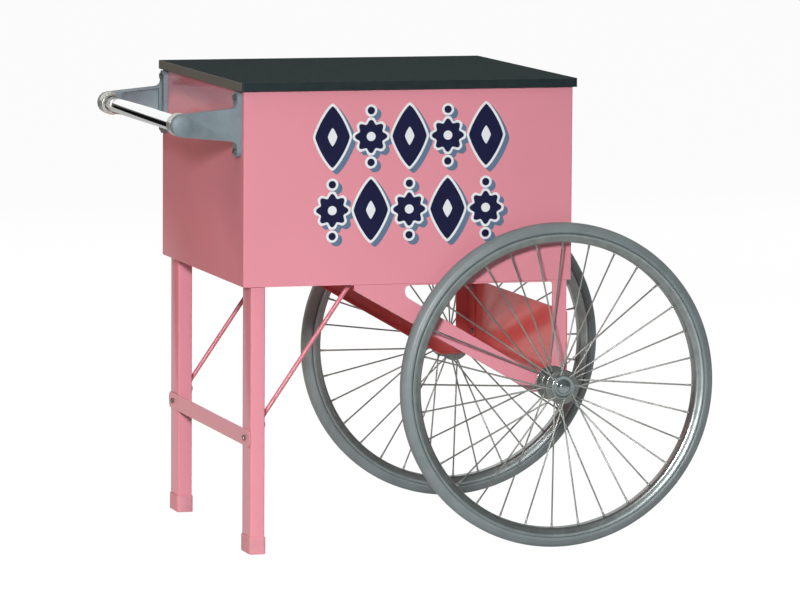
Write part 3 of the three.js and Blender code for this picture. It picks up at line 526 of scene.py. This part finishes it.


# %% [markdown]
# ## Tyre and rim
# The tyre is one piece of solid grey rubber with a narrow flat tread and a fine moulding line on each
# shoulder. It sits in a plated channel whose lips curl outward. Both profiles are symmetrical, so each is
# written for one half and mirrored. The lips are duller than the channel and lighter in tone, a painted
# highlight along the rolled edge, so the faces beyond the lips' inner radius get a finish of their own.

# %% Tyre and rim
TYRE_PROFILE = both_halves(np.array([
    (270.1, 7.2), (277.9, 12.0), (284.4, 12.8), (285.6, 14.4), (287.2, 16.3), (289.4, 17.0), (291.6, 16.6),
    (293.6, 15.7), (294.3, 14.9), (295.3, 14.6), (298.6, 12.8), (301.6, 10.2), (303.8, 7.6), (304.7, 5.4),
    (305.0, 0.1),
]) * MM)
RIM_PROFILE = both_halves(np.array([
    (268.0, 0.1), (268.0, 6.6), (268.3, 9.6), (269.2, 11.8), (271.0, 13.4), (274.0, 14.4), (277.6, 15.0),
    (279.6, 15.9), (281.6, 16.9), (283.6, 17.0), (284.9, 16.0), (285.1, 14.7), (284.0, 13.7), (280.0, 13.3),
    (276.0, 12.6), (272.4, 11.4), (270.6, 9.6), (269.8, 7.4), (269.6, 0.1),
]) * MM)
LIGHTER_LIP_START = 279.8 * MM
WHEEL_SEGMENTS = 192
finish("rim_plate", (0.29, 0.325, 0.315), 0.30, metal=0.85, drift=0.14, patch=60, grain=260, bump=0.004,
       speck=0.05, rough_drift=0.04)
# The lips' finish is rougher and lighter in tone than the channel: the lighter tone is a painted highlight
# along the rolled edge.
finish("lip_plate_painted_highlight", (0.34, 0.40, 0.39), 0.42, metal=0.8, drift=0.1, patch=60, grain=260, bump=0.004,
       rough_drift=0.04)
for side, out in SIDES.items():
    wheel = f"{side}_wheel"
    centre = middle(f"{side}_tyre")
    tyre = revolve(f"{side}_tyre_smooth", TYRE_PROFILE, centre, out, WHEEL_SEGMENTS)
    rim = revolve(f"{side}_rim_smooth", RIM_PROFILE, centre, out, WHEEL_SEGMENTS)
    show(tyre, f"{side}_tyre_smooth", "grey_rubber", wheel, [f"{side}_tyre"])
    show(rim, f"{side}_rim_smooth", "rim_plate", wheel, [f"{side}_rim"])
    second_look(rim, "lip_plate_painted_highlight", lambda face: math.hypot(
        face.center.x - centre[0], face.center.z - centre[2]) > LIGHTER_LIP_START)
print("tyres and rims on", sorted(SIDES))

# %% [markdown]
# ## Laced spokes
# Each wheel has thirty-two spokes, sixteen to a flange. A spoke starts as a head on one face of the flange,
# bends through its hole, and runs to the rim where a nipple grips it. Neighbours on one flange lean opposite
# ways and leave opposite faces, so they cross without touching. All the spokes of a wheel are one array: a
# path of points for each, and a circle round every point of every path.


# %% Tubes along paths
def tubes(name, paths, binormals, radii, sides=8):
    """Carries a circle along many flat paths at once: at each point it lies square to the path, and its two
    axes are the path's binormal and the binormal crossed with the path's direction."""
    count, steps = paths.shape[:2]
    along = np.gradient(paths, axis=1)
    along /= np.linalg.norm(along, axis=2, keepdims=True)
    across = np.broadcast_to(binormals[:, None, :], paths.shape)
    normal = np.cross(across, along)
    angle = around(sides)[:, None]
    ring = np.cos(angle) * normal[:, :, None, :] + np.sin(angle) * across[:, :, None, :]
    points = paths[:, :, None, :] + radii[:, :, None, None] * ring
    first = (np.arange(count) * steps * sides)[:, None, None]
    faces = (grid_faces(steps, sides)[None] + first).reshape(-1, 4)
    return put_mesh(name, points.reshape(-1, 3), faces.tolist())


# %% Spokes
SPOKES = 32
SPOKE_RADIUS = 1.6 * MM
HOLE_CIRCLE = 22 * MM
FLANGE_SPREAD = 64 * MM
FLANGE_HALF = 1.3 * MM
RIM_INNER = 268 * MM
RIM_CLEARANCE = 0.6 * MM
SPOKE_LEAN = math.radians(18.4)
OUTER_TWIST = math.radians(4)
PHASE = {"right": math.radians(-1.8), "left": math.radians(20.5)}
HEAD_LIFT = 0.9 * MM
NECK_LIFT = 0.2 * MM
HEAD_RADII = np.array([0.5, 2.3, 1.5]) * MM
BEND_BACK = 1.6 * MM
BEND_ON = 2.2 * MM
BEND_STEPS = 5
NIPPLE_FROM_RIM = np.array([13.05, 13.0, 11.5, 3.55, 3.5, 0]) * MM
NIPPLE_RADII = np.array([1.6, 1.8, 2.0, 2.0, 2.3, 2.3]) * MM


def spoke_mesh(side, out):
    """Heads, bends, shanks and nipples. Seen from outside, spoke k meets the rim at phase + k/32 of a turn,
    and the hub at that angle plus or minus the lean; the outer flange's holes are turned a little further."""
    centre = middle(f"{side}_tyre")
    k = np.arange(SPOKES)
    outboard = k % 2 == 1
    sweep = np.where((k % 4 == 0) | (k % 4 == 3), 1, -1)
    rim_angle = PHASE[side] + k * 2 * np.pi / SPOKES
    hub_angle = rim_angle + sweep * SPOKE_LEAN + outboard * OUTER_TWIST
    flange = np.where(outboard, 1, -1) * FLANGE_SPREAD / 2
    face = np.where(outboard, sweep, -sweep)
    lift = FLANGE_HALF + SPOKE_RADIUS

    def place(angle, radius, offset):
        return centre + np.stack([radius * np.cos(angle), out * offset, -out * radius * np.sin(angle)], -1)

    def in_hole(offset):
        return place(hub_angle, HOLE_CIRCLE, flange + face * offset)

    head, neck = in_hole(-FLANGE_HALF - HEAD_LIFT), in_hole(-FLANGE_HALF - NECK_LIFT)
    corner = in_hole(lift)
    run = place(rim_angle, RIM_INNER - RIM_CLEARANCE, 0 * k) - corner
    length = np.linalg.norm(run, axis=1, keepdims=True)
    run /= length
    bend_start, bend_end = in_hole(lift - BEND_BACK), corner + run * BEND_ON
    t = np.linspace(0, 1, BEND_STEPS)[None, :, None]
    bend = curve(bend_start[:, None], corner[:, None], bend_end[:, None], t)
    straight = corner[:, None] + run[:, None] * (length[:, :, None] - NIPPLE_FROM_RIM[:, None])
    paths = np.concatenate([np.stack([head, (head + neck) / 2, neck], 1), bend, straight], 1)
    profile = np.concatenate([HEAD_RADII, np.full(BEND_STEPS, SPOKE_RADIUS), NIPPLE_RADII])
    binormal = np.cross(np.array([0, 1.0, 0]), run)
    binormal /= np.linalg.norm(binormal, axis=1, keepdims=True)
    return tubes(f"{side}_spokes", paths, binormal, np.broadcast_to(profile, paths.shape[:2]))


finish("spoke_steel", (0.40, 0.42, 0.39), 0.52, metal=0.7, drift=0.25, patch=18, grain=300, bump=0.01)
for side, out in SIDES.items():
    show(spoke_mesh(side, out), f"{side}_spokes", "spoke_steel",
         f"{side}_wheel")
print("spokes:", 2 * SPOKES)

# %% [markdown]
# ## Hub, cap and axle
# The hub is a turned and plated shell with two flanges, a slim waist and a lip that the pressed cap grips.
# The cap is a shallow dish with a dome in the middle that covers the axle nut. The axle is a plain bar with
# a thinner stud at each end.

# %% Hubs and caps
TURNED_SEGMENTS = 64
HUB_PROFILE = rounded(np.array([
    (11.6, -34.0), (15.0, -34.0), (15.2, -33.5), (30.6, -33.5), (32.5, -33.0), (32.5, -31.0), (30.6, -30.5),
    (20.0, -29.6), (15.2, -25.0), (14.4, -14.0), (14.4, 14.0), (15.2, 25.0), (20.0, 29.6), (30.6, 30.5),
    (32.5, 31.0), (32.5, 33.0), (30.6, 33.5), (15.2, 33.5), (15.0, 35.0), (13.0, 35.0), (13.0, 28.0),
    (11.6, 28.0),
]), 0.8) * MM
CAP_PROFILE = rounded(np.array([
    (0, 44.0), (5.6, 43.0), (9.6, 40.4), (11.2, 38.2), (11.2, 35.3), (15.8, 35.3), (15.8, 33.7), (17.6, 33.7),
    (17.6, 36.4), (21.6, 36.4), (22.5, 36.9), (22.2, 37.8), (20.8, 38.3), (15.4, 37.6), (13.4, 38.0),
    (12.6, 39.6), (11.2, 42.4), (8.2, 44.9), (4.4, 45.8), (0, 46.0),
]), 0.9) * MM
finish("hub_plate", (0.28, 0.305, 0.285), 0.28, metal=0.85, drift=0.2, patch=90, grain=1600, bump=0.1,
       speck=0.1, rough_drift=0.1)
finish("cap_plate", (0.38, 0.45, 0.445), 0.18, metal=0.9, drift=0.08, patch=60, grain=1200, bump=0.05)
for side, out in SIDES.items():
    wheel = f"{side}_wheel"
    centre = middle(f"{side}_tyre")
    hub = revolve(f"{side}_hub_shell", HUB_PROFILE, centre, out, TURNED_SEGMENTS)
    cap = revolve(f"{side}_cap_pressed", CAP_PROFILE, centre, out, TURNED_SEGMENTS, closed=False, sharp=50)
    show(hub, f"{side}_hub_shell", "hub_plate", wheel, [f"{side}_spoked_hub"])
    show(cap, f"{side}_cap_pressed", "cap_plate", wheel, [f"{side}_hub_cap"])
print("hubs and caps on", sorted(SIDES))

# %% Axle
AXLE_RADIUS = 8 * MM
STUD_RADIUS = 6 * MM
STUD_LENGTH = 10 * MM
STUD_CHAMFER = 0.7 * MM
AXLE_SEGMENTS = 32


def half_length(name):
    """Half of a solid's extent along Y."""
    low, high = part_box(name)
    return (high.y - low.y) / 2


axle_half = half_length("axle")
AXLE_PROFILE = both_halves([
    (0, -axle_half), (STUD_RADIUS, -axle_half), (STUD_RADIUS, STUD_LENGTH - axle_half),
    (AXLE_RADIUS, STUD_LENGTH + STUD_CHAMFER - axle_half),
])
axle_mesh = revolve("axle_turned", AXLE_PROFILE, middle("axle"), 1, AXLE_SEGMENTS, closed=False, sharp=50)
show(axle_mesh, "axle_turned", "zinc_plate", body_of["axle"], ["axle"])
print("an axle of", round(2 * axle_half, 4), "m")

# %% [markdown]
# ## Push bar and finger cups
# The bar is a chromed tube whose ends sit in the sockets of the cast arms, with a thin bright collar where it
# enters each socket. The doors' finger cups are pressed from sheet with a rolled edge. All are turned about
# lines along the cart's width.

# %% Push bar
BAR_WALL = 2 * MM
BAR_EDGE = 0.6 * MM
BAR_SEGMENTS = 72
bar_low, bar_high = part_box("handle_bar")
bar_radius = (bar_high.x - bar_low.x) / 2
bar_half = half_length("handle_bar")
bar_end = rounded(np.array([
    (bar_radius, 0.0), (bar_radius, bar_half), (bar_radius - BAR_WALL, bar_half),
    (bar_radius - BAR_WALL, 0.0),
]), BAR_EDGE)
bar_profile = np.concatenate([bar_end[:-1], bar_end[:0:-1] * (1, -1)])
bar = revolve("handle_bar_tube", bar_profile, middle("handle_bar"), 1, BAR_SEGMENTS, sharp=60)
show(bar, "handle_bar_tube", "chrome_plate", "root", ["handle_bar"])
print("push bar", round(2 * bar_half, 3), "m long")

# %% Collars of the push bar
SOCKET_DEPTH = 36 * MM
SLEEVE = rounded(np.array([
    (15.3, 0.0), (18.6, -0.9), (20.4, -0.9), (21.5, 0.0), (21.5, 26.0), (20.6, 26.0), (20.6, 1.6),
    (15.3, 1.6),
]), 0.6) * MM
SLEEVE_ANGLES = np.radians(np.linspace(72, 288, 73))
ARM_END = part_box("right_handle_bracket")[0].x


def sleeve(name, centre, out):
    """The sleeve profile turned through the part of a circle that the cast arm leaves free, and closed at
    both ends by the profile itself. It is flattened where it would pass the cast arm's end."""
    rows, columns = len(SLEEVE), len(SLEEVE_ANGLES)
    radius, reach = SLEEVE[:, :1], SLEEVE[:, 1:]
    points = np.stack([
        np.maximum(centre[0] + radius * np.cos(SLEEVE_ANGLES), ARM_END),
        centre[1] + out * reach + 0 * SLEEVE_ANGLES,
        centre[2] + radius * np.sin(SLEEVE_ANGLES),
    ], -1)
    faces = grid_faces(rows, columns, wrap_rows=True, wrap_columns=False).tolist()
    faces += [[row * columns + column for row in range(rows)] for column in (0, columns - 1)]
    return put_mesh(name, points.reshape(-1, 3), faces, sharp=40)


finish("polished_cast", (0.62, 0.63, 0.59), 0.38, metal=0.7, drift=0.1, patch=70, grain=1500, bump=0.03)
mouth = bar_half - SOCKET_DEPTH
for side, out in SIDES.items():
    x, _, z = middle("handle_bar")
    collar = sleeve(f"{side}_bar_sleeve", (x, out * mouth, z), out)
    show(collar, f"{side}_bar_sleeve", "polished_cast", "root")
print("collars", round(2 * mouth, 3), "m apart")

# %% Finger cups
CUP_DEPTH = 6.4 * MM
CUP = rounded(np.array([
    (0, -6.4), (15.6, -6.4), (16.5, -5.6), (16.5, 0.3), (21.0, 0.3), (20.5, 0.8), (16.2, 0.8), (15.4, 0.0),
    (15.4, -4.8), (14.6, -5.4), (0, -5.4),
]), 0.5) * MM
for door in ("handle_end", "wheel_end"):
    x, _, z = middle(f"{door}_door_pull")
    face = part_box(f"{door}_door_pull")[0].y + CUP_DEPTH
    cup = revolve(f"{door}_finger_cup", CUP, (x, face, z), 1, TURNED_SEGMENTS, closed=False)
    show(cup, f"{door}_finger_cup", "zinc_plate", f"{door}_door_leaf",
         [f"{door}_door_pull"])
print("finger cups", round(CUP_DEPTH, 4), "m deep")

# %% [markdown]
# ## Braces
# Each leg is held by a round rod whose ends are forged flat and bolted, one to the leg and one under the
# cabinet. A flat end and a round shank are the same rod, so the section is one formula, a superellipse, whose
# width, thickness and exponent change along the path: 16 by 3 mm and nearly square at the tabs, an 8.4 mm
# circle between them.

# %% Forged rods
ROD_RADIUS = 4.2 * MM
ROD_BEND = 16 * MM
ROD_SIDES = 28
TAB_LENGTH = 26 * MM
TAB_HALF_WIDTH = 8 * MM
TAB_HALF_THICKNESS = 1.5 * MM
TAB_CORNER = 7 * MM
FLAT_LENGTH = 24 * MM
BLEND_LENGTH = 18 * MM
FLAT_EXPONENT = 9
ROUND_EXPONENT = 2
END_SHARE = 0.02
SHANK_START = TAB_LENGTH + 40 * MM
END_STATIONS = np.concatenate([
    np.array([0, 0.3, 1, 2, 3.5, 5.5, 8]) * MM, np.linspace(10 * MM, TAB_LENGTH + 30 * MM, 16),
])


def signed_power(value, power):
    """The value's size raised to a power, with the value's own sign."""
    return np.sign(value) * np.abs(value) ** power


def forged_rod(name, foot, head, y):
    """The point at angle a of the section at path point p is p + w c(a) Y + t s(a) n, with c and s the cosine
    and sine raised to 2/e and keeping their sign: e is 2 for a circle and larger for a flat bar."""
    corners = np.array([foot - (0, TAB_LENGTH), foot, head, head + (TAB_LENGTH, 0)])
    corners = rounded(corners, ROD_BEND, 10)
    gaps = np.linalg.norm(np.diff(corners, axis=0), axis=1)
    run = np.concatenate([[0], np.cumsum(gaps)])
    total = run[-1]
    shank = np.linspace(SHANK_START, total - SHANK_START, 12)
    stations = np.concatenate([END_STATIONS, shank, total - END_STATIONS[::-1]])
    path = np.stack([np.interp(stations, run, corners[:, i]) for i in (0, 1)], -1)
    along = np.gradient(path, stations, axis=0)
    along /= np.linalg.norm(along, axis=1, keepdims=True)
    normal = np.stack([-along[:, 1], along[:, 0]], -1)
    from_end = np.minimum(stations, total - stations)
    blend = np.clip((from_end - FLAT_LENGTH) / BLEND_LENGTH, 0, 1)
    blend = blend * blend * (3 - 2 * blend)
    end_round = np.sqrt(np.clip(1 - (1 - np.clip(from_end / TAB_CORNER, 0, 1)) ** 2, 0, 1))
    wide = (1 - blend) * TAB_HALF_WIDTH + blend * ROD_RADIUS
    wide *= END_SHARE + (1 - END_SHARE) * end_round
    thick = (1 - blend) * TAB_HALF_THICKNESS + blend * ROD_RADIUS
    thick[[0, -1]] *= END_SHARE
    power = 2 / ((1 - blend) * FLAT_EXPONENT + blend * ROUND_EXPONENT)
    angle = around(ROD_SIDES)
    c = signed_power(np.cos(angle), power[:, None])
    s = signed_power(np.sin(angle), power[:, None])
    points = np.stack([
        path[:, :1] + thick[:, None] * s * normal[:, :1],
        y + wide[:, None] * c,
        path[:, 1:] + thick[:, None] * s * normal[:, 1:],
    ], -1)
    poles = [np.broadcast_to(points[i].mean(0), points[i].shape)[None] for i in (0, -1)]
    points = np.concatenate([poles[0], points, poles[1]])
    return put_mesh(name, points.reshape(-1, 3), grid_faces(len(points), ROD_SIDES).tolist(), sharp=50)


# The rods take the darker copy of the pink paint, which is painted shade.
for side in SIDES:
    low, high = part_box(f"{side}_diagonal_brace")
    foot = np.array([low.x + TAB_HALF_THICKNESS, low.z + TAB_LENGTH])
    head = np.array([high.x - TAB_LENGTH, high.z - TAB_HALF_THICKNESS])
    rod = forged_rod(f"{side}_forged_rod", foot, head, (low.y + high.y) / 2)
    show(rod, f"{side}_forged_rod", "rod_pink_painted_shade", "root",
         [f"{side}_diagonal_brace"])
print("rods from", foot.round(3), "to", head.round(3))

# %% [markdown]
# ## Ornament on the front
# The front carries a painted ornament in two rows: tall lozenges with hollow sides and eight-petalled
# rosettes, taking turns, with dots in the gaps. Each motif is navy on a white border, with a slate shadow
# behind it to the lower right, as sign painters do. Each outline is a closed formula, laid as a thin film on
# the panel, and a film stands a tenth of a millimetre in front of the one below it.

# %% Outlines
ANGLES = around(192)
LOZENGE_POWER = 1.6
LEAST_LEAN = 0.45


def lozenge(half_width, half_height):
    """x = a c(t), z = b s(t), with c and s the cosine and sine to the power 1.6, keeping their sign."""
    c, s = signed_power(np.cos(ANGLES), LOZENGE_POWER), signed_power(np.sin(ANGLES), LOZENGE_POWER)
    return np.stack([half_width * c, half_height * s], -1)


def rosette(radius, petals=8, depth=0.12):
    """r = R (1 - d + d cos(n t)): a circle with a soft petal at each of n angles. A dot has a depth of 0."""
    r = radius * (1 - depth + depth * np.cos(petals * ANGLES))
    return np.stack([r * np.cos(ANGLES), r * np.sin(ANGLES)], -1)


def grown(outline, by):
    """The outline moved away from its centre, so far that its edges move outward by a distance. Near a tip,
    where the outline runs almost straight at the centre, the least lean limits how far."""
    tangent = np.roll(outline, -2, 0) - np.roll(outline, 2, 0)
    tangent /= np.maximum(np.linalg.norm(tangent, axis=1, keepdims=True), 1e-12)
    outward = np.stack([tangent[:, 1], -tangent[:, 0]], -1)
    radial = outline / np.linalg.norm(outline, axis=1, keepdims=True)
    lean = np.clip((outward * radial).sum(1, keepdims=True), LEAST_LEAN, 1)
    return outline + radial * by / lean


def film(name, outlines, front, back):
    """Thin closed plates between two planes: for each outline and centre a fan of triangles in front, one
    behind, and a wall between them."""
    points, faces = [], []
    count = len(ANGLES)
    for outline, centre in outlines:
        first = sum(len(p) for p in points)
        second = first + count + 1
        flat = np.concatenate([[(0.0, 0.0)], outline]) + centre
        for depth in (front, back):
            points.append(np.stack([flat[:, 0], np.full(count + 1, depth), flat[:, 1]], -1))
        for i in range(count):
            a, b = 1 + i, 1 + (i + 1) % count
            faces += [(first, first + a, first + b), (second, second + b, second + a),
                      (first + a, second + a, second + b, first + b)]
    return put_mesh(name, np.concatenate(points), faces, sharp=30)


print("points in an outline:", len(ANGLES))

# %% Ornament
PITCH = 74 * MM
ROW_HEIGHTS = (773 * MM, 637 * MM)
COLUMNS = range(-2, 3)
LOZENGE = lozenge(33 * MM, 57 * MM)
LOZENGE_HEART = lozenge(9 * MM, 17 * MM)
ROSETTE = rosette(31 * MM)
ROSETTE_HEART = rosette(8.5 * MM, depth=0)
DOT = rosette(7 * MM, depth=0)
DOT_LIFT = 48 * MM
BORDER = 4.5 * MM
SHADOW = np.array([8.0, -7.0]) * MM
FILM_STEP = 0.1 * MM
FILM_THICKNESS = 0.08 * MM
finish("navy_ink", (0.0055, 0.0070, 0.040), 0.34, drift=0.12, patch=40, grain=900, bump=0.08,
       Specular_IOR_Level=0.25)
finish("white_ink", (0.74, 0.77, 0.78), 0.36, drift=0.02, patch=40, grain=900, bump=0.08)
finish("slate_ink", (0.105, 0.165, 0.255), 0.36, drift=0.06, patch=40, grain=900, bump=0.08)
panel_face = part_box("cabinet_shell")[0].y
panel_middle = middle("cabinet_shell")[0]
motifs, hearts = [], []
for row, height in enumerate(ROW_HEIGHTS):
    for column in COLUMNS:
        spot = np.array([panel_middle + column * PITCH, height])
        if (row + column) % 2 == 0:
            motifs.append((LOZENGE, spot))
            hearts.append((LOZENGE_HEART, spot))
        else:
            motifs.append((ROSETTE, spot))
            hearts.append((ROSETTE_HEART, spot))
            motifs += [(DOT, spot + (0, lift)) for lift in (-DOT_LIFT, DOT_LIFT)]
borders = [(grown(outline, BORDER), spot) for outline, spot in motifs]
shadows = [(outline, spot + SHADOW) for outline, spot in borders]
LAYERS = (
    ("ornament_shadow", shadows, "slate_ink"), ("ornament_border", borders, "white_ink"),
    ("ornament_motifs", motifs, "navy_ink"), ("ornament_hearts", hearts, "white_ink"),
)
for step, (name, shapes, look) in enumerate(LAYERS, 1):
    front = panel_face - step * FILM_STEP
    show(film(name, shapes, front, front + FILM_THICKNESS), name, look, "root")
print("motifs:", len(motifs))
